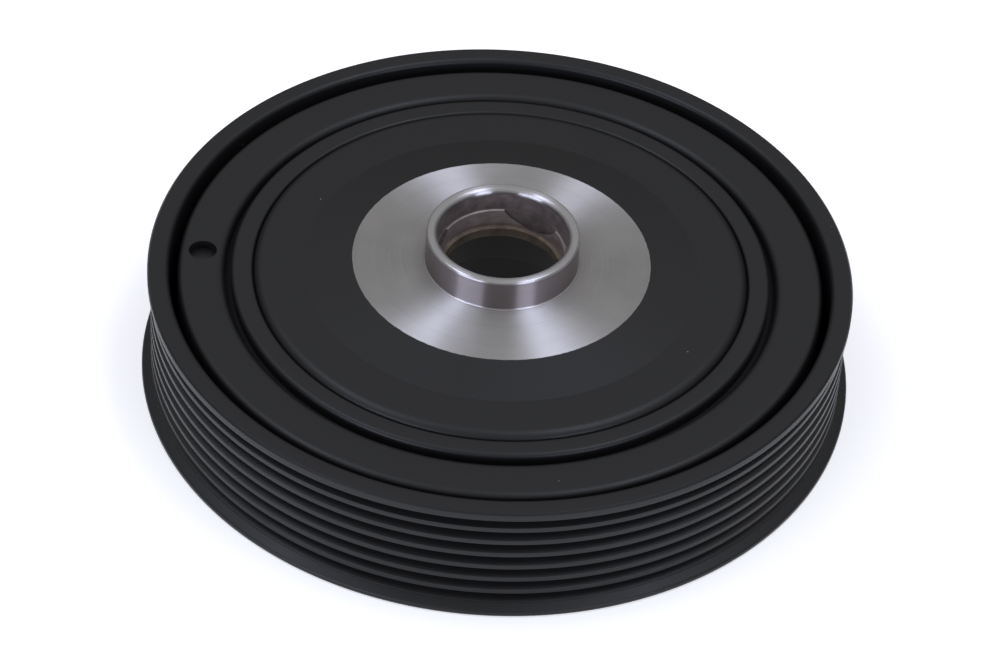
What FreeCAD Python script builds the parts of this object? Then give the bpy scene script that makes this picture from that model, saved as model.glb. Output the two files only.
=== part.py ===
import FreeCAD, Part

import math
import os

os.makedirs("parts", exist_ok=True)

# Crankshaft pulley with a torsional vibration damper, engine side up.
# The shaft axis is Z. The origin is on the axis, in the plane of the front edge that it rests on.
# All sizes are millimetres. Heights are above the front edge.

# belt track, for a ribbed belt with a 3.56 mm pitch
rib_count = 7
rib_pitch = 3.56
groove_angle = 40.0
groove_depth = 2.3
groove_root_radius = 0.5
guide_flange_rise = 0.6
first_groove_below_rim = 3.4
last_groove_above_edge = 3.7

# rest of the spun steel belt pulley
wall_under_grooves = 1.75
rim_outer_chamfer = 0.45
rim_inner_rounding = 1.2
lip_rise = 2.05
lip_thickness = 1.35
lip_rounding = 0.6
lip_step = 0.25
web_thickness = 3.0
web_corner_rounding = 2.0
web_bead_height = 1.0
web_bead_slope = 2.0
web_bead_margin = 2.6

# hub, engine side
hub_press_diameter = 107.5
disc_edge_rounding = 2.2
cone_outer_diameter = 85.9
flange_diameter = 64.7
flange_above_rim = 2.05
neck_diameter = 33.2
neck_length = 7.6
neck_wall = 2.45
neck_outer_rounding = 0.6
neck_mouth_rounding = 1.2
neck_foot_rounding = 0.4

# hub, bore and drive
land_top_above_flange = 2.5
land_rise = 0.7
land_length = 4.4
land_chamfer = 0.25
bolt_seat_width_in_bore = 0.8
shoulder_thickness = 6.85
drive_slot_count = 3
drive_slot_cutter_diameter = 14.8
drive_slot_depth = 4.0
drive_slot_end_wall = 0.3
first_slot_angle = 62.0

# hub, front side
bolt_recess_diameter = 33.2
bolt_recess_length = 9.6
front_recess_step = 3.0
boss_wall = 7.0
boss_set_back = 1.0
spigot_set_back = 0.8
spigot_wall = 7.8
web_seat_width = 5.2
disc_thickness = 14.1
pocket_corner_rounding = 3.5
cast_edge_rounding = 1.0
sleeve_shoulder_width = 2.6
sleeve_shoulder_thickness = 2.0

# damper insert: sleeve, rubber and inertia ring
sleeve_wall = 4.75
sleeve_below_rim = 0.8
sleeve_inner_rounding = 0.8
sleeve_outer_rounding = 1.0
rubber_thickness = 1.2
rubber_inset = 3.0
rubber_hollow = 0.4
ring_width = 10.4
ring_below_rim = 1.3
ring_gap_to_pulley = 1.8
ring_gap_to_web = 1.6
ring_inner_rounding = 2.0
ring_outer_rounding = 1.5
mark_hole_diameter = 6.1
mark_hole_depth = 2.0
mark_hole_angle = 179.7

# diameters worked out from the sizes above, from the shaft outwards
mouth_diameter = neck_diameter - 2 * neck_wall
land_diameter = mouth_diameter - 2 * land_rise
shaft_hole_diameter = land_diameter - 2 * bolt_seat_width_in_bore
drive_slot_end_diameter = mouth_diameter - 2 * drive_slot_end_wall
front_recess_diameter = bolt_recess_diameter + 2 * front_recess_step
boss_diameter = front_recess_diameter + 2 * boss_wall
spigot_diameter = hub_press_diameter - 2 * web_seat_width
spigot_bore = spigot_diameter - 2 * spigot_wall
shoulder_diameter = hub_press_diameter + 2 * sleeve_shoulder_width
sleeve_diameter = hub_press_diameter + 2 * sleeve_wall
ring_bore = sleeve_diameter + 2 * rubber_thickness
ring_diameter = ring_bore + 2 * ring_width
pulley_bore = ring_diameter + 2 * ring_gap_to_pulley
crest_diameter = pulley_bore + 2 * (wall_under_grooves + groove_depth)
guide_flange_diameter = crest_diameter + 2 * guide_flange_rise
lip_diameter = crest_diameter + 2 * lip_rise

# heights worked out from the sizes above
rim_height = first_groove_below_rim + (rib_count - 1) * rib_pitch + last_groove_above_edge
flange_height = rim_height + flange_above_rim
neck_height = flange_height + neck_length
land_top_height = flange_height + land_top_above_flange
land_bottom_height = land_top_height - land_length
bolt_seat_height = land_top_height - shoulder_thickness
bolt_recess_step_height = bolt_seat_height - bolt_recess_length
shoulder_height = web_thickness + sleeve_shoulder_thickness
sleeve_top_height = rim_height - sleeve_below_rim
ring_top_height = rim_height - ring_below_rim
ring_bottom_height = web_thickness + web_bead_height + ring_gap_to_web

axis_start = FreeCAD.Vector(0, 0, 0)
axis_z = FreeCAD.Vector(0, 0, 1)


def corner_arc(before, corner, after, radius):
    """Start, middle and end of the arc that rounds the corner between two straight sides."""
    to_before = (before - corner).normalize()
    to_after = (after - corner).normalize()
    half_angle = to_before.getAngle(to_after) / 2
    inwards = (to_before + to_after).normalize()
    setback = radius / math.tan(half_angle)
    middle = corner + inwards * (radius / math.sin(half_angle) - radius)
    return corner + to_before * setback, middle, corner + to_after * setback


def turned(outline):
    """Turns a closed outline round the axis. Each corner is its diameter, height and rounding."""
    corners = [FreeCAD.Vector(diameter / 2, 0, height) for diameter, height, rounding in outline]
    joins = []
    for i, corner in enumerate(corners):
        rounding = outline[i][2]
        before = corners[i - 1]
        after = corners[(i + 1) % len(corners)]
        if rounding > 0:
            joins.append(corner_arc(before, corner, after, rounding))
        else:
            joins.append((corner, None, corner))
    edges = []
    for i, (start, middle, end) in enumerate(joins):
        if middle is not None:
            edges.append(Part.Arc(start, middle, end).toShape())
        next_start = joins[(i + 1) % len(joins)][0]
        edges.append(Part.LineSegment(end, next_start).toShape())
    return Part.Face(Part.Wire(edges)).revolve(axis_start, axis_z, 360)


def groove(centre_height, diameter_above, diameter_below):
    """Corners of one vee groove with a round root, from its upper edge to its lower edge."""
    half_angle = math.radians(groove_angle / 2)
    root_to_apex = groove_root_radius / math.sin(half_angle) - groove_root_radius
    apex_diameter = crest_diameter - 2 * (groove_depth + root_to_apex)
    rise = math.tan(half_angle) * (diameter_above - apex_diameter) / 2
    fall = math.tan(half_angle) * (diameter_below - apex_diameter) / 2
    return [
        (diameter_above, centre_height + rise, 0),
        (apex_diameter, centre_height, groove_root_radius),
        (diameter_below, centre_height - fall, 0),
    ]


def belt_pulley():
    """Spun steel cup: vee grooves outside, flared lip, and a beaded web that sits on the hub."""
    track = []
    for i in range(rib_count):
        centre_height = rim_height - first_groove_below_rim - i * rib_pitch
        diameter_above = guide_flange_diameter if i == 0 else crest_diameter
        track += groove(centre_height, diameter_above, crest_diameter)
    last_edge_height = track[-1][1]
    bead_outer = pulley_bore - 2 * web_bead_margin
    bead_inner = shoulder_diameter + 2 * web_bead_margin
    outline = [
        (pulley_bore, rim_height, rim_inner_rounding),
        (guide_flange_diameter - 2 * rim_outer_chamfer, rim_height, 0),
        (guide_flange_diameter, rim_height - rim_outer_chamfer, 0),
        *track,
        (crest_diameter, last_edge_height - lip_step, 0),
        (lip_diameter, lip_thickness, lip_rounding),
        (lip_diameter, 0, lip_rounding),
        (bead_outer, 0, 0),
        (bead_outer - 2 * web_bead_slope, web_bead_height, 0),
        (bead_inner, web_bead_height, 0),
        (bead_inner - 2 * web_bead_slope, 0, 0),
        (spigot_diameter, 0, 0),
        (spigot_diameter, web_thickness, 0),
        (bead_inner - 2 * web_bead_slope, web_thickness, 0),
        (bead_inner, web_thickness + web_bead_height, 0),
        (bead_outer - 2 * web_bead_slope, web_thickness + web_bead_height, 0),
        (bead_outer, web_thickness, 0),
        (pulley_bore, web_thickness, web_corner_rounding),
    ]
    return turned(outline)


def drive_slot(angle):
    """Round-bottomed slot through the drive ring, ending just short of the mouth's wall."""
    cutter_radius = drive_slot_cutter_diameter / 2
    centre_height = land_top_height - drive_slot_depth + cutter_radius
    centre = FreeCAD.Vector(0, 0, centre_height)
    cutter = Part.makeCylinder(cutter_radius, mouth_diameter, centre, FreeCAD.Vector(1, 0, 0))
    cutter.rotate(axis_start, axis_z, angle)
    room = Part.makeCylinder(drive_slot_end_diameter / 2, neck_height)
    return cutter.common(room)


def hub():
    """Hub with a seal neck, a drive ring, a press seat for the damper and a spigot for the pulley."""
    pocket_floor = rim_height - disc_thickness
    outline = [
        (mouth_diameter, neck_height, neck_mouth_rounding),
        (neck_diameter, neck_height, neck_outer_rounding),
        (neck_diameter, flange_height, neck_foot_rounding),
        (flange_diameter, flange_height, 0),
        (cone_outer_diameter, rim_height, 0),
        (hub_press_diameter, rim_height, disc_edge_rounding),
        (hub_press_diameter, shoulder_height, 0),
        (shoulder_diameter, shoulder_height, 0),
        (shoulder_diameter, web_thickness, 0),
        (spigot_diameter, web_thickness, 0),
        (spigot_diameter, spigot_set_back, cast_edge_rounding),
        (spigot_bore, spigot_set_back, cast_edge_rounding),
        (spigot_bore, pocket_floor, pocket_corner_rounding),
        (boss_diameter, pocket_floor, pocket_corner_rounding),
        (boss_diameter, boss_set_back, cast_edge_rounding),
        (front_recess_diameter, boss_set_back, 0),
        (front_recess_diameter, bolt_recess_step_height, 0),
        (bolt_recess_diameter, bolt_recess_step_height, 0),
        (bolt_recess_diameter, bolt_seat_height, 0),
        (shaft_hole_diameter, bolt_seat_height, 0),
        (shaft_hole_diameter, land_bottom_height - land_chamfer, 0),
        (land_diameter, land_bottom_height, 0),
        (land_diameter, land_top_height - land_chamfer, 0),
        (land_diameter + 2 * land_chamfer, land_top_height, 0),
        (mouth_diameter, land_top_height, 0),
    ]
    solid = turned(outline)
    for i in range(drive_slot_count):
        solid = solid.cut(drive_slot(first_slot_angle + i * 360 / drive_slot_count))
    return solid


def damper_sleeve():
    """Steel sleeve that carries the rubber, pressed over the hub down to its shoulder."""
    outline = [
        (hub_press_diameter, sleeve_top_height, sleeve_inner_rounding),
        (sleeve_diameter, sleeve_top_height, sleeve_outer_rounding),
        (sleeve_diameter, shoulder_height, 0),
        (hub_press_diameter, shoulder_height, 0),
    ]
    return turned(outline)


def damper_rubber():
    """Rubber bonded between sleeve and inertia ring, hollow at its top and bottom."""
    top = sleeve_top_height - rubber_inset
    bottom = ring_bottom_height + rubber_inset
    middle_radius = (sleeve_diameter + ring_bore) / 4
    inner_top = FreeCAD.Vector(sleeve_diameter / 2, 0, top)
    outer_top = FreeCAD.Vector(ring_bore / 2, 0, top)
    inner_bottom = FreeCAD.Vector(sleeve_diameter / 2, 0, bottom)
    outer_bottom = FreeCAD.Vector(ring_bore / 2, 0, bottom)
    top_middle = FreeCAD.Vector(middle_radius, 0, top - rubber_hollow)
    bottom_middle = FreeCAD.Vector(middle_radius, 0, bottom + rubber_hollow)
    edges = [
        Part.Arc(inner_top, top_middle, outer_top).toShape(),
        Part.LineSegment(outer_top, outer_bottom).toShape(),
        Part.Arc(outer_bottom, bottom_middle, inner_bottom).toShape(),
        Part.LineSegment(inner_bottom, inner_top).toShape(),
    ]
    return Part.Face(Part.Wire(edges)).revolve(axis_start, axis_z, 360)


def inertia_ring():
    """Cast iron ring, free of the belt pulley all round, with one shallow marking hole."""
    outline = [
        (ring_bore, ring_top_height, ring_inner_rounding),
        (ring_diameter, ring_top_height, ring_outer_rounding),
        (ring_diameter, ring_bottom_height, ring_outer_rounding),
        (ring_bore, ring_bottom_height, ring_inner_rounding),
    ]
    mark_hole_radius = (ring_bore + ring_diameter) / 4
    floor_height = ring_top_height - mark_hole_depth
    hole = Part.makeCylinder(mark_hole_diameter / 2, 2 * mark_hole_depth)
    hole.translate(FreeCAD.Vector(mark_hole_radius, 0, floor_height))
    hole.rotate(axis_start, axis_z, mark_hole_angle)
    return turned(outline).cut(hole)


pieces = {
    "hub": hub(),
    "damper_sleeve": damper_sleeve(),
    "damper_rubber": damper_rubber(),
    "inertia_ring": inertia_ring(),
    "belt_pulley": belt_pulley(),
}

for name, shape in pieces.items():
    shape.exportStep("parts/" + name + ".step")
    print(name, "valid", shape.isValid(), "solids", len(shape.Solids), "volume", round(shape.Volume, 1))
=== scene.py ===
import math
import bmesh
import bpy
from mathutils import Matrix, Vector


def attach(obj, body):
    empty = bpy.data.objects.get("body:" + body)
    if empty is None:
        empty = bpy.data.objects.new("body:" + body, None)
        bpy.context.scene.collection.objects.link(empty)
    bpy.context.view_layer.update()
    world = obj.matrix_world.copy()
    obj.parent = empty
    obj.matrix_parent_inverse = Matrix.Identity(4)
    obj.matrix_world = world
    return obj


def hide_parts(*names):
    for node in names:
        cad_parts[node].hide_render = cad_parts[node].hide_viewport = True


# Crankshaft pulley with a torsional damper, lying on its front edge, engine side up.
# Outlines are written in millimetres as (radius, height, rounding). The shaft axis is Z.
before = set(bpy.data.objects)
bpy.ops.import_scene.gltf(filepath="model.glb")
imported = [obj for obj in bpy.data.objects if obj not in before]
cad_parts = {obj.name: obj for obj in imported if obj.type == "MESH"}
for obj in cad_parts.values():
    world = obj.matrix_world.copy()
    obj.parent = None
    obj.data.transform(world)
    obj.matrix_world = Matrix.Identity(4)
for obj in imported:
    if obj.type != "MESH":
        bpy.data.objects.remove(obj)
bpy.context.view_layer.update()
print("frame loaded")

bpy.context.scene.view_settings.view_transform = "Standard"

mm = 0.001
turnSteps = 384                 # faces round a turned piece
roundingSteps = 6
mergeDistance = 0.002 * mm
sharpAngle = math.radians(24)
noiseSpan = {"From Min": 0.35, "From Max": 0.65}        # where most values of a noise texture lie
wideNoiseSpan = {"From Min": 0.3, "From Max": 0.7}


# small helpers

def linearColour(hexValue):
    value = hexValue.lstrip("#")
    channels = [int(value[i:i + 2], 16) / 255 for i in (0, 2, 4)]
    return [c / 12.92 if c <= 0.04045 else ((c + 0.055) / 1.055) ** 2.4 for c in channels] + [1.0]


def addNode(tree, kind, settings=None, links=None):
    # settings are attributes or socket values, links are input socket -> output socket
    node = tree.nodes.new(kind)
    for key, value in (settings or {}).items():
        if isinstance(key, str) and hasattr(node, key) and key not in node.inputs:
            setattr(node, key, value)
        else:
            node.inputs[key].default_value = value
    for key, source in (links or {}).items():
        tree.links.new(source, node.inputs[key])
    return node


def newMaterial(name):
    material = bpy.data.materials.new(name)
    material.use_nodes = True
    tree = material.node_tree
    tree.nodes.clear()
    output = tree.nodes.new("ShaderNodeOutputMaterial")
    return material, tree, output


def turnedPiece(name, corners):
    # the outline is rounded at its corners as a flat wire, then spun about Z
    bm = bmesh.new()
    verts = [bm.verts.new((radius * mm, 0, height * mm)) for radius, height, rounding in corners]
    count = len(verts)
    for i in range(count):
        bm.edges.new((verts[i], verts[(i + 1) % count]))
    places = [vert.co.copy() for vert in verts]
    for i in range(count):
        rounding = corners[i][2] * mm
        if rounding > 0:
            toBefore = (places[i - 1] - places[i]).normalized()
            toAfter = (places[(i + 1) % count] - places[i]).normalized()
            setback = rounding / math.tan(toBefore.angle(toAfter) / 2)
            bmesh.ops.bevel(bm, geom=[verts[i]], offset=setback, offset_type="OFFSET", affect="VERTICES",
                            segments=roundingSteps, profile=0.5, material=-1)
    bmesh.ops.spin(bm, geom=bm.verts[:] + bm.edges[:], cent=(0, 0, 0), axis=(0, 0, 1), angle=2 * math.pi,
                   steps=turnSteps, use_merge=True)
    bmesh.ops.remove_doubles(bm, verts=bm.verts[:], dist=mergeDistance)
    bmesh.ops.recalc_face_normals(bm, faces=bm.faces[:])
    return finishMesh(bm, name)


def finishMesh(bm, name):
    mesh = bpy.data.meshes.new(name)
    bm.to_mesh(mesh)
    bm.free()
    for polygon in mesh.polygons:
        polygon.use_smooth = True
    mesh.set_sharp_from_angle(angle=sharpAngle)
    piece = bpy.data.objects.new(name, mesh)
    bpy.context.scene.collection.objects.link(piece)
    return piece


def applyModifiers(piece):
    graph = bpy.context.evaluated_depsgraph_get()
    mesh = bpy.data.meshes.new_from_object(piece.evaluated_get(graph))
    piece.modifiers.clear()
    oldMesh = piece.data
    piece.data = mesh
    bpy.data.meshes.remove(oldMesh)


def cutWith(piece, cutters, operation="DIFFERENCE"):
    # works each cutter on the piece, keeps the result as the piece's own mesh and removes the cutters
    for cutter in cutters:
        modifier = piece.modifiers.new("cut", "BOOLEAN")
        modifier.operation = operation
        modifier.solver = "EXACT"
        modifier.object = cutter
    applyModifiers(piece)
    piece.data.set_sharp_from_angle(angle=sharpAngle)
    for cutter in cutters:
        bpy.data.objects.remove(cutter, do_unlink=True)


def roundBar(name, radius, length, place, turn=None, segments=96):
    # a plain cylinder, used as a cutter; length runs along its own Z from the place
    bm = bmesh.new()
    bmesh.ops.create_cone(bm, cap_ends=True, segments=segments, radius1=radius * mm, radius2=radius * mm,
                          depth=length * mm)
    bmesh.ops.translate(bm, verts=bm.verts[:], vec=(0, 0, length * mm / 2))
    if turn is not None:
        bmesh.ops.rotate(bm, verts=bm.verts[:], cent=(0, 0, 0), matrix=turn)
    bmesh.ops.translate(bm, verts=bm.verts[:], vec=Vector(place) * mm)
    return finishMesh(bm, name)


def paintZones(piece, materials, chooser):
    # gives each face the material that the chooser names for its radius and height in millimetres
    piece.data.materials.clear()
    names = list(materials)
    for name in names:
        piece.data.materials.append(materials[name])
    for polygon in piece.data.polygons:
        centre = polygon.center
        radius = math.hypot(centre.x, centre.y) / mm
        polygon.material_index = names.index(chooser(radius, centre.z / mm, polygon.normal))


# materials

def turnedPlace(tree, place):
    # the distance from the shaft axis and the height along it
    split = addNode(tree, "ShaderNodeSeparateXYZ", links={"Vector": place})
    flat = addNode(tree, "ShaderNodeCombineXYZ", {"Z": 0.0},
                   {"X": split.outputs["X"], "Y": split.outputs["Y"]})
    radius = addNode(tree, "ShaderNodeVectorMath", {"operation": "LENGTH"}, {0: flat.outputs["Vector"]})
    return radius.outputs["Value"], split.outputs["Z"]


def glossRange(roughness, stray):
    # the roughness strays a little to the glossy and to the dull side
    return {"To Min": roughness - stray[0], "To Max": roughness + stray[1]}


blackPaint = {
    "colour": "#131314",        # thin black paint, dipped and baked
    "roughness": 0.40,
    "stray": (0.03, 0.04),
    "specular": 0.30,
    "cloudSize": 14,            # mm, slow change of gloss
    "grainSize": 0.55,          # mm, orange peel of the paint, drawn a little coarse so that it shows
    "grainDepth": 0.0035,       # mm
    "dustColour": "#8d8a86",
    "dustSpacing": 11,          # mm
    "dustSize": 0.13,           # mm
}


def paintShader(tree, settings):
    place = addNode(tree, "ShaderNodeTexCoord").outputs["Object"]
    cloud = addNode(tree, "ShaderNodeTexNoise",
                    {"Scale": 1 / (settings["cloudSize"] * mm), "Detail": 3.0, "Roughness": 0.6},
                    {"Vector": place})
    grain = addNode(tree, "ShaderNodeTexNoise", {"Scale": 1 / (settings["grainSize"] * mm), "Detail": 2.0},
                    {"Vector": place})
    speck = addNode(tree, "ShaderNodeTexVoronoi", {"Scale": 1 / (settings["dustSpacing"] * mm)},
                    {"Vector": place})
    dust = addNode(tree, "ShaderNodeMath",
                   {"operation": "LESS_THAN", 1: settings["dustSize"] / settings["dustSpacing"]},
                   {0: speck.outputs["Distance"]})
    colour = addNode(tree, "ShaderNodeMix",
                     {"data_type": "RGBA", 6: linearColour(settings["colour"]),
                      7: linearColour(settings["dustColour"])},
                     {0: dust.outputs["Value"]})
    gloss = addNode(tree, "ShaderNodeMapRange",
                    {**wideNoiseSpan, **glossRange(settings["roughness"], settings["stray"])},
                    {"Value": cloud.outputs["Fac"]})
    bump = addNode(tree, "ShaderNodeBump", {"Strength": 1.0, "Distance": settings["grainDepth"] * mm},
                   {"Height": grain.outputs["Fac"]})
    return addNode(tree, "ShaderNodeBsdfPrincipled", {"Specular IOR Level": settings["specular"]},
                   {"Base Color": colour.outputs[2], "Roughness": gloss.outputs["Result"],
                    "Normal": bump.outputs["Normal"]})


def makeBlackPaint(name, settings):
    # black dip paint on steel or iron: soft sheen, faint orange peel, uneven gloss, a few grains of dust
    material, tree, output = newMaterial(name)
    tree.links.new(paintShader(tree, settings).outputs["BSDF"], output.inputs["Surface"])
    return material


turnedSteel = {
    "colour": "#b4b2b3",        # the flange, bare turned steel, lightly oiled
    "roughness": 0.45,
    "anisotropy": 1.0,
    "feed": 0.45,               # mm between marks, drawn coarser than the tool's feed so that they show
    "shade": 0.10,
    "markDepth": 0.0006,        # mm
}
shadedGroundSteel = {
    "colour": "#8c8586",        # the neck's wall, ground and polished for the oil seal; drawn darker than the turned faces, painted shade for the dark surroundings that the upright wall reflects
    "roughness": 0.34,
    "anisotropy": 1.0,
    "feed": 0.5,
    "shade": 0.06,
    "markDepth": 0.0002,        # mm
}
polishedSteel = {
    "colour": "#aaa8aa",        # the neck's top and foot, turned and rubbed bright
    "roughness": 0.30,
    "anisotropy": 0.95,
    "feed": 0.5,
    "shade": 0.06,
    "markDepth": 0.0002,        # mm
}
steelPatches = {
    "size": 7,                  # mm
    "share": 0.35,              # of the shading, the rest follows the rings
    "stray": (0.04, 0.05),
}


def steelShader(tree, settings):
    place = addNode(tree, "ShaderNodeTexCoord").outputs["Object"]
    radius, height = turnedPlace(tree, place)
    around = addNode(tree, "ShaderNodeCombineXYZ", {"Y": 0.0}, {"X": radius, "Z": height})
    rings = addNode(tree, "ShaderNodeTexNoise",
                    {"Scale": 1 / (settings["feed"] * mm), "Detail": 3.0, "Roughness": 0.7},
                    {"Vector": around.outputs["Vector"]})
    cloud = addNode(tree, "ShaderNodeTexNoise", {"Scale": 1 / (steelPatches["size"] * mm), "Detail": 4.0},
                    {"Vector": place})
    both = addNode(tree, "ShaderNodeMix", {"data_type": "FLOAT", 0: steelPatches["share"]},
                   {2: rings.outputs["Fac"], 3: cloud.outputs["Fac"]})
    value = addNode(tree, "ShaderNodeMapRange",
                    {**noiseSpan, "To Min": 1 - settings["shade"], "To Max": 1 + settings["shade"]},
                    {"Value": both.outputs[0]})
    colour = addNode(tree, "ShaderNodeVectorMath",
                     {"operation": "SCALE", 0: linearColour(settings["colour"])[:3]},
                     {"Scale": value.outputs["Result"]})
    gloss = addNode(tree, "ShaderNodeMapRange",
                    {**noiseSpan, **glossRange(settings["roughness"], steelPatches["stray"])},
                    {"Value": rings.outputs["Fac"]})
    bump = addNode(tree, "ShaderNodeBump", {"Strength": 1.0, "Distance": settings["markDepth"] * mm},
                   {"Height": rings.outputs["Fac"]})
    tangent = addNode(tree, "ShaderNodeTangent", {"direction_type": "RADIAL", "axis": "Z"})
    return addNode(tree, "ShaderNodeBsdfPrincipled",
                   {"Metallic": 1.0, "Anisotropic": settings["anisotropy"], "Anisotropic Rotation": 0.25},
                   {"Base Color": colour.outputs["Vector"], "Roughness": gloss.outputs["Result"],
                    "Normal": bump.outputs["Normal"], "Tangent": tangent.outputs["Tangent"]})


def makeTurnedSteel(name, settings):
    # turned or ground: fine rings about the shaft axis spread the light across themselves, in fans and bands
    material, tree, output = newMaterial(name)
    tree.links.new(steelShader(tree, settings).outputs["BSDF"], output.inputs["Surface"])
    return material


flangeBorder = {
    "radius": 32.35,            # mm, the bare steel ends here
    "ragged": 0.05,             # mm
    "raggedSize": 1.4,          # mm
    "blend": 0.05,              # mm to either side
}


def makeTurnedAndPainted(name, steel, paint, border):
    # bare turned steel inside the border and paint outside it, with a slightly ragged edge between them
    material, tree, output = newMaterial(name)
    place = addNode(tree, "ShaderNodeTexCoord").outputs["Object"]
    radius = turnedPlace(tree, place)[0]
    noise = addNode(tree, "ShaderNodeTexNoise", {"Scale": 1 / (border["raggedSize"] * mm), "Detail": 4.0},
                    {"Vector": place})
    shift = addNode(tree, "ShaderNodeMapRange",
                    {**wideNoiseSpan, "To Min": -border["ragged"] * mm, "To Max": border["ragged"] * mm},
                    {"Value": noise.outputs["Fac"]})
    wavy = addNode(tree, "ShaderNodeMath", {"operation": "ADD"}, {0: radius, 1: shift.outputs["Result"]})
    mask = addNode(tree, "ShaderNodeMapRange",
                   {"From Min": (border["radius"] - border["blend"]) * mm,
                    "From Max": (border["radius"] + border["blend"]) * mm},
                   {"Value": wavy.outputs["Value"]})
    mixed = addNode(tree, "ShaderNodeMixShader",
                    links={0: mask.outputs["Result"], 1: steelShader(tree, steel).outputs["BSDF"],
                           2: paintShader(tree, paint).outputs["BSDF"]})
    tree.links.new(mixed.outputs["Shader"], output.inputs["Surface"])
    return material


boreFinishes = {
    "mouth": {"light": "#756a69", "dark": "#5b5251", "metal": 0.35, "roughness": 0.42},
    "land": {"light": "#a39896", "dark": "#8b7f7c", "metal": 0.55, "roughness": 0.38},
    # the slots' floors are drawn darker than the other bored faces: painted shade in the slots
    "slot": {"light": "#4a4241", "dark": "#2e2827", "metal": 0.3, "roughness": 0.5},
    "throat": {"light": "#6f6253", "dark": "#4d4338", "metal": 0.35, "roughness": 0.5},
}
oilFilm = {
    "size": 2.5,                # mm
    "stray": (0.06, 0.06),
}


def makeBoredSteel(name, finish):
    # bored and left bare, dulled and browned by a film of old oil; the slots' colours are darker still,
    # painted shade in the slots
    material, tree, output = newMaterial(name)
    place = addNode(tree, "ShaderNodeTexCoord").outputs["Object"]
    cloud = addNode(tree, "ShaderNodeTexNoise",
                    {"Scale": 1 / (oilFilm["size"] * mm), "Detail": 5.0, "Roughness": 0.6}, {"Vector": place})
    spread = addNode(tree, "ShaderNodeMapRange", noiseSpan, {"Value": cloud.outputs["Fac"]})
    colour = addNode(tree, "ShaderNodeMix",
                     {"data_type": "RGBA", 6: linearColour(finish["dark"]), 7: linearColour(finish["light"])},
                     {0: spread.outputs["Result"]})
    gloss = addNode(tree, "ShaderNodeMapRange", glossRange(finish["roughness"], oilFilm["stray"]),
                    {"Value": cloud.outputs["Fac"]})
    shader = addNode(tree, "ShaderNodeBsdfPrincipled", {"Metallic": finish["metal"]},
                     {"Base Color": colour.outputs[2], "Roughness": gloss.outputs["Result"]})
    tree.links.new(shader.outputs["BSDF"], output.inputs["Surface"])
    return material


rubberFinish = {
    "colour": "#0b0a0a",
    "roughness": 0.8,
    "specular": 0.3,
    "grainSize": 0.5,           # mm
    "grainDepth": 0.02,         # mm
}


def makeRubber(name, settings):
    # moulded nitrile rubber: dead matt, very dark
    material, tree, output = newMaterial(name)
    place = addNode(tree, "ShaderNodeTexCoord").outputs["Object"]
    grain = addNode(tree, "ShaderNodeTexNoise", {"Scale": 1 / (settings["grainSize"] * mm), "Detail": 3.0},
                    {"Vector": place})
    bump = addNode(tree, "ShaderNodeBump", {"Strength": 1.0, "Distance": settings["grainDepth"] * mm},
                   {"Height": grain.outputs["Fac"]})
    shader = addNode(tree, "ShaderNodeBsdfPrincipled",
                     {"Base Color": linearColour(settings["colour"]), "Roughness": settings["roughness"],
                      "Specular IOR Level": settings["specular"]},
                     {"Normal": bump.outputs["Normal"]})
    tree.links.new(shader.outputs["BSDF"], output.inputs["Surface"])
    return material


paintOnSteel = makeBlackPaint("blackPaintOnSpunSteel", blackPaint)
paintOnIron = makeBlackPaint("blackPaintOnCastIron", blackPaint)
nitrileRubber = makeRubber("nitrileRubber", rubberFinish)
print("materials made")


# belt pulley: a cup with the belt track outside and a beaded web at its front

track = {
    "grooves": 7,
    "pitch": 3.56,
    "angle": 40,                # degrees
    "depth": 2.3,
    "rootRadius": 0.5,
    "crestRadius": 75.95,
    "crestEdge": 0.12,
    "guideRadius": 76.55,
    "firstBelowRim": 3.4,
    "rimHeight": 28.46,
}
cup = {
    "wallInside": 71.9,
    "rimRounding": 1.2,
    "rimChamfer": 0.45,
    "trackFoot": 0.25,          # below the last groove, where the lip starts to flare
    "lipRadius": 78.0,
    "lipHeight": 1.35,
    "rounding": 0.6,
    "bore": 48.55,
    "web": 3.0,                 # thickness
    "beadFrom": 58.95,
    "beadTo": 67.3,
    "beadHeight": 1.0,
    "beadSlope": 2.0,
    "beadInnerRounding": 0.3,
    "webRounding": 2.0,
}


def grooveCorners():
    halfAngle = math.radians(track["angle"] / 2)
    slope = math.tan(halfAngle)
    rootSink = track["rootRadius"] / math.sin(halfAngle) - track["rootRadius"]
    apexRadius = track["crestRadius"] - track["depth"] - rootSink
    corners = []
    for i in range(track["grooves"]):
        centre = track["rimHeight"] - track["firstBelowRim"] - i * track["pitch"]
        above = track["guideRadius"] if i == 0 else track["crestRadius"]
        corners.append((above, centre + slope * (above - apexRadius), track["crestEdge"]))
        corners.append((apexRadius, centre, track["rootRadius"]))
        corners.append((track["crestRadius"], centre - slope * (track["crestRadius"] - apexRadius),
                        track["crestEdge"]))
    return corners


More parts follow.
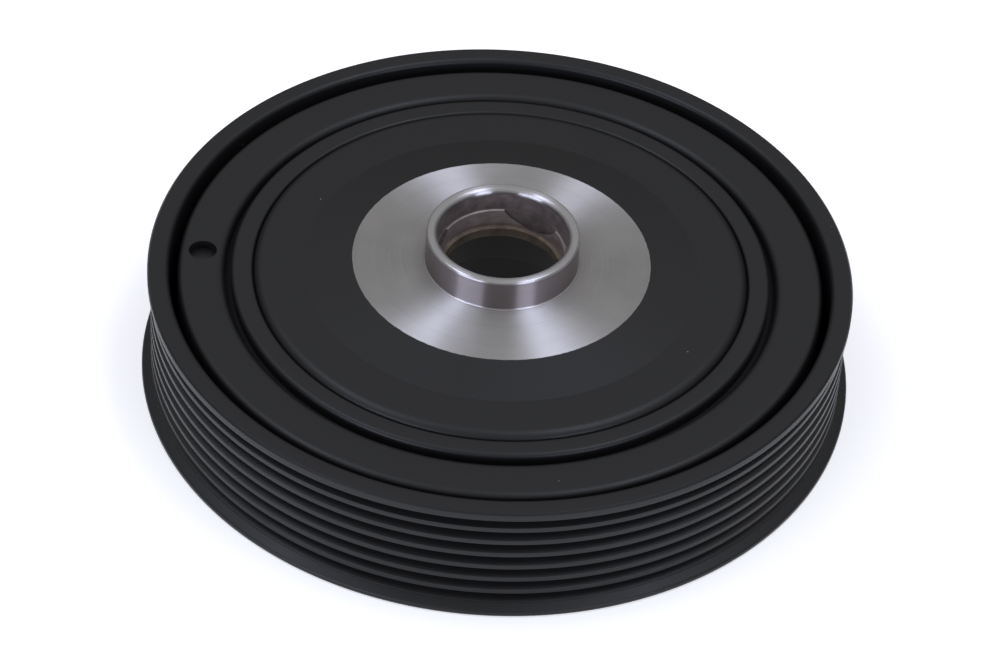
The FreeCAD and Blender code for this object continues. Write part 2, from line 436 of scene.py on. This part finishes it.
def pulleyCorners():
    grooves = grooveCorners()
    top, edge, rounding = track["rimHeight"], track["crestEdge"], cup["rounding"]
    guide, chamfer = track["guideRadius"], cup["rimChamfer"]
    web, bead = cup["web"], cup["beadHeight"]
    slopeIn, slopeOut = cup["beadFrom"] - cup["beadSlope"], cup["beadTo"] + cup["beadSlope"]
    return [
        (cup["wallInside"], top, cup["rimRounding"]),
        (guide - chamfer, top, edge), (guide, top - chamfer, edge),
        *grooves,
        (track["crestRadius"], grooves[-1][1] - cup["trackFoot"], 0),
        (cup["lipRadius"], cup["lipHeight"], rounding), (cup["lipRadius"], 0, rounding),
        (slopeOut, 0, rounding), (cup["beadTo"], bead, rounding), (cup["beadFrom"], bead, rounding),
        (slopeIn, 0, rounding), (cup["bore"], 0, 0), (cup["bore"], web, 0),
        (slopeIn, web, rounding),
        (cup["beadFrom"], web + bead, rounding), (cup["beadTo"], web + bead, rounding),
        (slopeOut, web, cup["beadInnerRounding"]), (cup["wallInside"], web, cup["webRounding"]),
    ]


beltPulley = turnedPiece("beltPulley", pulleyCorners())
beltPulley.data.materials.append(paintOnSteel)
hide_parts("belt_pulley")
print("belt pulley made")


# inertia ring, with one shallow marking hole

ring = {
    "inside": 59.7,
    "outside": 70.1,
    "top": 27.16,
    "bottom": 5.6,
    "insideRounding": 2.0,
    "outsideRounding": 1.5,
    "holeRadius": 3.05,
    "holeDepth": 2.0,
    "holeAngle": 179.7,         # degrees
    "holeCutter": 5,            # length
}


def ringCorners():
    inside, outside = ring["insideRounding"], ring["outsideRounding"]
    return [(ring["inside"], ring["top"], inside), (ring["outside"], ring["top"], outside),
            (ring["outside"], ring["bottom"], outside), (ring["inside"], ring["bottom"], inside)]


def markHole():
    turn = math.radians(ring["holeAngle"])
    middle = (ring["inside"] + ring["outside"]) / 2
    return roundBar("markHole", ring["holeRadius"], ring["holeCutter"],
                    (middle * math.cos(turn), middle * math.sin(turn), ring["top"] - ring["holeDepth"]))


inertiaRing = turnedPiece("inertiaRing", ringCorners())
cutWith(inertiaRing, [markHole()])
inertiaRing.data.materials.clear()
inertiaRing.data.materials.append(paintOnIron)
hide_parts("inertia_ring")
print("inertia ring made")


# damper sleeve and rubber

sleeve = {
    "inside": 53.75,
    "outside": 58.5,
    "top": 27.66,
    "bottom": 5.0,
    "insideRounding": 0.8,
    "outsideRounding": 1.0,
}
rubber = {
    "top": 24.66,
    "bottom": 8.6,
    "sink": 0.4,                # the middle lies lower than the bonded edges
    "sinkRounding": 0.3,
}


def sleeveCorners():
    return [(sleeve["inside"], sleeve["top"], sleeve["insideRounding"]),
            (sleeve["outside"], sleeve["top"], sleeve["outsideRounding"]),
            (sleeve["outside"], sleeve["bottom"], 0), (sleeve["inside"], sleeve["bottom"], 0)]


def rubberCorners():
    # fills the space between the sleeve and the inertia ring
    inside, outside = sleeve["outside"], ring["inside"]
    middle = (inside + outside) / 2
    top, bottom, sink, rounding = rubber["top"], rubber["bottom"], rubber["sink"], rubber["sinkRounding"]
    return [(inside, top, 0), (middle, top - sink, rounding), (outside, top, 0),
            (outside, bottom, 0), (middle, bottom + sink, rounding), (inside, bottom, 0)]


damperSleeve = turnedPiece("damperSleeve", sleeveCorners())
damperSleeve.data.materials.append(paintOnSteel)
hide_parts("damper_sleeve")

damperRubber = turnedPiece("damperRubber", rubberCorners())
damperRubber.data.materials.append(nitrileRubber)
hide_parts("damper_rubber")
print("damper insert made")


# hub: a casting turned all over, with the drive slots milled across its bore

casting = {
    "neckTop": 38.11,
    "neckRadius": 16.6,
    "neckRounding": 0.6,
    "neckFoot": 0.4,            # rounding
    "flangeHeight": 30.51,
    "flangeRounding": 0.12,
    "coneRadius": 42.95,
    "coneRounding": 0.8,
    "discRounding": 2.2,
    "shoulderRadius": 56.35,    # the shoulder lies between the sleeve and the belt pulley's web
    "shoulderRounding": 0.2,
    "spigotFront": 0.8,
    "pocketRadius": 40.75,
    "pocketCeiling": 14.36,
    "pocketRounding": 3.5,
    "bossRadius": 26.6,
    "bossFront": 1.0,
    "frontRounding": 1.0,       # of the spigot and of the boss
    "wideRecessRadius": 19.6,
    "wideRecessRounding": 0.25,
    "recessStep": 16.56,
    "recessStepRounding": 0.3,
    "boltRecessRadius": 16.6,
    "boltSeat": 26.16,
    "boltHoleRadius": 12.65,
    "boltRounding": 0.2,
    "landRadius": 13.45,
    "landBottom": 28.61,
    "landLedge": 0.25,          # fall from the lands' bottom to the bolt hole
    "landTop": 33.01,
    "landChamfer": 0.25,
    "landRounding": 0.05,
    "mouthRadius": 14.15,
    "mouthRounding": 1.2,
    "footShadeLine": 0.01,           # height of the darker line round the neck's foot, painted shade in the crease
    "zoneMargin": 0.05,         # by which a finish reaches past its border
}
driveSlots = {
    "count": 3,
    "cutterRadius": 7.4,
    "cutterLength": 20,
    "floorHeight": 29.01,
    "endRadius": 13.85,         # the slots stop short of the mouth's wall
    "roomHeight": 60,
    "firstAngle": 62,           # degrees
}
uprightFrom = 0.97              # the level part of a face's normal from which it counts as an upright wall


def hubCorners():
    # from the mouth out over the flange and disc, under to the pocket and up the bore
    mouth, neck, top = casting["mouthRadius"], casting["neckRadius"], casting["neckTop"]
    flange, disc, discEdge = casting["flangeHeight"], track["rimHeight"], sleeve["inside"]
    shoulder, shoulderRounding = casting["shoulderRadius"], casting["shoulderRounding"]
    spigot, spigotFront, frontRounding = cup["bore"], casting["spigotFront"], casting["frontRounding"]
    pocket, ceiling = casting["pocketRadius"], casting["pocketCeiling"]
    pocketRounding = casting["pocketRounding"]
    boss, bossFront = casting["bossRadius"], casting["bossFront"]
    wideRecess, step = casting["wideRecessRadius"], casting["recessStep"]
    recess, seat = casting["boltRecessRadius"], casting["boltSeat"]
    hole, boltRounding = casting["boltHoleRadius"], casting["boltRounding"]
    land, landBottom, landTop = casting["landRadius"], casting["landBottom"], casting["landTop"]
    chamfer, landRounding = casting["landChamfer"], casting["landRounding"]
    return [
        (mouth, top, casting["mouthRounding"]), (neck, top, casting["neckRounding"]),
        (neck, flange, casting["neckFoot"]), (flangeBorder["radius"], flange, casting["flangeRounding"]),
        (casting["coneRadius"], disc, casting["coneRounding"]), (discEdge, disc, casting["discRounding"]),
        (discEdge, sleeve["bottom"], 0), (shoulder, sleeve["bottom"], shoulderRounding),
        (shoulder, cup["web"], shoulderRounding), (spigot, cup["web"], 0),
        (spigot, spigotFront, frontRounding), (pocket, spigotFront, frontRounding),
        (pocket, ceiling, pocketRounding), (boss, ceiling, pocketRounding),
        (boss, bossFront, frontRounding), (wideRecess, bossFront, casting["wideRecessRounding"]),
        (wideRecess, step, casting["recessStepRounding"]), (recess, step, boltRounding),
        (recess, seat, boltRounding), (hole, seat, boltRounding),
        (hole, landBottom - casting["landLedge"], 0), (land, landBottom, 0),
        (land, landTop - chamfer, landRounding), (land + chamfer, landTop, landRounding),
        (mouth, landTop, 0),
    ]


def finishZones():
    # finish, radius from and to, height from and to; the first that holds a face's middle counts
    near, footShade, foot = casting["zoneMargin"], casting["footShadeLine"], casting["neckFoot"]
    mouth, neck, cone = casting["mouthRadius"], casting["neckRadius"], casting["coneRadius"]
    top, flange, disc = casting["neckTop"], casting["flangeHeight"], track["rimHeight"]
    land, landBottom, landTop = casting["landRadius"], casting["landBottom"], casting["landTop"]
    chamfer, slotFloor = casting["landChamfer"], driveSlots["floorHeight"]
    return [
        ("flange", neck + foot, cone, flange - near, top),
        ("flange", flangeBorder["radius"], cone, disc + near, top),
        ("neckTop", 0, neck + near, top - casting["mouthRounding"], top + near),
        ("neckTop", neck - near, neck + foot, flange + footShade, flange + foot),
        # a thin ring in the mouth's darker finish at the neck's foot: painted shade in the crease
        ("mouth", neck - near, neck + foot, flange, flange + footShade),
        ("neck", mouth + near, neck + near, flange + foot, top),
        ("mouth", mouth - near, mouth + near, landTop + near, top),
        # the slots' floors take the darker slot colours, painted shade
        ("slot", 0, mouth + near, slotFloor - near, landTop - chamfer - near),
        ("mouth", land + chamfer + near, mouth + near, slotFloor - near, landTop + near),
        ("land", 0, mouth + near, landBottom, landTop + near),
        ("throat", 0, land + near, casting["boltSeat"] - near, landBottom + near),
    ]


def slotCutter(index):
    # a round bar laid across the bore, kept inside the mouth's wall
    turn = math.radians(driveSlots["firstAngle"] + index * 360 / driveSlots["count"])
    layOver = Matrix.Rotation(math.radians(90), 3, "Y")
    axisHeight = driveSlots["floorHeight"] + driveSlots["cutterRadius"]
    cutter = roundBar("slotCutter", driveSlots["cutterRadius"], driveSlots["cutterLength"],
                      (0, 0, axisHeight), Matrix.Rotation(turn, 3, "Z") @ layOver)
    room = roundBar("mouthRoom", driveSlots["endRadius"], driveSlots["roomHeight"], (0, 0, 0),
                    segments=turnSteps)
    cutWith(cutter, [room], "INTERSECT")
    return cutter


def hubFinish(radius, height, normal):
    upright = math.hypot(normal.x, normal.y) >= uprightFrom
    for zone, radiusFrom, radiusTo, heightFrom, heightTo in hubZones:
        inside = radiusFrom < radius < radiusTo and heightFrom < height < heightTo
        if inside and not (zone == "slot" and upright):
            return zone
    return "paint"


hubZones = finishZones()
hub = turnedPiece("hubCasting", hubCorners())
cutWith(hub, [slotCutter(i) for i in range(driveSlots["count"])])
hubMaterials = {
    "paint": paintOnIron,
    "flange": makeTurnedAndPainted("turnedSteelAndPaint", turnedSteel, blackPaint, flangeBorder),
    # the neck's wall: ground steel drawn darker, partly painted shade
    "neck": makeTurnedSteel("shadedGroundSteel", shadedGroundSteel),
    "neckTop": makeTurnedSteel("polishedSteel", polishedSteel),
}
for zoneName, finish in boreFinishes.items():
    hubMaterials[zoneName] = makeBoredSteel("boredSteel" + zoneName.capitalize(), finish)
paintZones(hub, hubMaterials, hubFinish)
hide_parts("hub")
print("hub made")


# camera, at the photograph's angle

cameraSizes = {
    "distance": 857.59,         # mm, from the middle of the rim's top
    "elevation": 41.069,        # degrees, as pan, tilt and roll
    "pan": -0.047,
    "tilt": -0.977,
    "roll": -3.741,
    "lens": 142.257,            # mm, on a sensor 36 mm wide
    "sensor": 36,
    "clip": (0.05, 20),         # m
}


def makeCamera(sizes):
    data = bpy.data.cameras.new("camera")
    data.lens = sizes["lens"]
    data.sensor_width = sizes["sensor"]
    data.sensor_fit = "HORIZONTAL"
    data.clip_start, data.clip_end = sizes["clip"]
    camera = bpy.data.objects.new("camera", data)
    bpy.context.scene.collection.objects.link(camera)
    height = math.radians(sizes["elevation"])
    offset = Vector((0, -math.cos(height), math.sin(height))) * sizes["distance"] * mm
    aim = (-offset).to_track_quat("-Z", "Y").to_matrix()
    turn = (aim @ Matrix.Rotation(math.radians(sizes["pan"]), 3, "Y")
            @ Matrix.Rotation(math.radians(sizes["tilt"]), 3, "X")
            @ Matrix.Rotation(math.radians(-sizes["roll"]), 3, "Z"))
    camera.matrix_world = Matrix.Translation(offset + Vector((0, 0, track["rimHeight"] * mm))) @ turn.to_4x4()
    bpy.context.scene.camera = camera


makeCamera(cameraSizes)


# floor, world and lamps; places and sizes in metres

light = {
    "sky": 0.68,
    "horizon": 0.1,             # low down, where a studio is darker
    "skySpan": (0.2, 0.62),     # sine of the elevation, from horizon to sky
    "floor": "#f4f4f4",
    "floorReach": 3,
    "glow": 0.32,
    "lampHeight": 1.2,
    "lampSize": (0.36, 1.0),
    "leftLamp": (-0.65, 0.0),   # sideways and towards the back
    "rightLamp": (0.46, 0.0),
    "lampPower": 4.7,           # W each
    "leftFill": (-0.77, -0.92, 0.26),
    "rightFill": (0.69, -0.98, 0.26),
    "leftFillSize": (0.8, 0.4),
    "rightFillSize": (0.5, 0.4),
    "fillGlow": 22.0,           # W per square metre
    "lampColour": "#e2e8ff",
}


def makeFloor():
    # white paper; the glow shows to the camera and in reflections, and adds no diffuse light
    bm = bmesh.new()
    bmesh.ops.create_grid(bm, x_segments=1, y_segments=1, size=light["floorReach"])
    floor = finishMesh(bm, "floor")
    material, tree, output = newMaterial("paleFloor")
    rays = addNode(tree, "ShaderNodeLightPath")
    diffuse = addNode(tree, "ShaderNodeBsdfDiffuse", {"Color": linearColour(light["floor"])})
    glow = addNode(tree, "ShaderNodeEmission", {"Color": (1, 1, 1, 1), "Strength": light["glow"]})
    dark = addNode(tree, "ShaderNodeEmission", {"Strength": 0.0})
    seen = addNode(tree, "ShaderNodeMath", {"operation": "MAXIMUM"},
                   {0: rays.outputs["Is Camera Ray"], 1: rays.outputs["Is Glossy Ray"]})
    clear = addNode(tree, "ShaderNodeMath", {"operation": "MAXIMUM"},
                    {0: seen.outputs["Value"], 1: rays.outputs["Is Transmission Ray"]})
    extra = addNode(tree, "ShaderNodeMixShader",
                    links={0: clear.outputs["Value"], 1: dark.outputs["Emission"],
                           2: glow.outputs["Emission"]})
    total = addNode(tree, "ShaderNodeAddShader",
                    links={0: diffuse.outputs["BSDF"], 1: extra.outputs["Shader"]})
    tree.links.new(total.outputs["Shader"], output.inputs["Surface"])
    floor.data.materials.append(material)
    return floor


def makeWorld():
    world = bpy.data.worlds.new("studio")
    bpy.context.scene.world = world
    world.use_nodes = True
    tree = world.node_tree
    tree.nodes.clear()
    output = tree.nodes.new("ShaderNodeOutputWorld")
    direction = addNode(tree, "ShaderNodeTexCoord").outputs["Generated"]
    split = addNode(tree, "ShaderNodeSeparateXYZ", links={"Vector": direction})
    level = addNode(tree, "ShaderNodeMapRange",
                    {"From Min": light["skySpan"][0], "From Max": light["skySpan"][1],
                     "To Min": light["horizon"], "To Max": light["sky"]},
                    {"Value": split.outputs["Z"]})
    soft = addNode(tree, "ShaderNodeBackground", {"Color": (1, 1, 1, 1)},
                   {"Strength": level.outputs["Result"]})
    tree.links.new(soft.outputs["Background"], output.inputs["Surface"])


def makeSoftbox(name, place, size, power):
    data = bpy.data.lights.new(name, "AREA")
    data.shape = "RECTANGLE"
    data.size, data.size_y = size
    data.energy = power
    data.color = linearColour(light["lampColour"])[:3]
    lamp = bpy.data.objects.new(name, data)
    bpy.context.scene.collection.objects.link(lamp)
    lamp.location = place
    return lamp


def makeFill(name, place, size):
    # a low softbox beside the camera, aimed at the pulley, for the bright bands on the neck
    lamp = makeSoftbox(name, place, size, light["fillGlow"] * size[0] * size[1])
    lamp.rotation_euler = (-Vector(place)).to_track_quat("-Z", "Y").to_euler()


def makeLamp(name, place):
    # a long flat softbox overhead; its long side points at the camera's mirror place, as the fans do
    lamp = makeSoftbox(name, (*place, light["lampHeight"]), light["lampSize"], light["lampPower"])
    mirrorReach = light["lampHeight"] / math.tan(math.radians(cameraSizes["elevation"]))
    lamp.rotation_euler = (0, 0, math.atan2(place[0], mirrorReach - place[1]))


floor = makeFloor()
makeWorld()
makeFill("leftFill", light["leftFill"], light["leftFillSize"])
makeFill("rightFill", light["rightFill"], light["rightFillSize"])
makeLamp("leftSoftbox", light["leftLamp"])
makeLamp("rightSoftbox", light["rightLamp"])
print("camera, floor and lamps made")

for piece in (hub, damperSleeve, damperRubber, inertiaRing, beltPulley):
    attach(piece, "root")
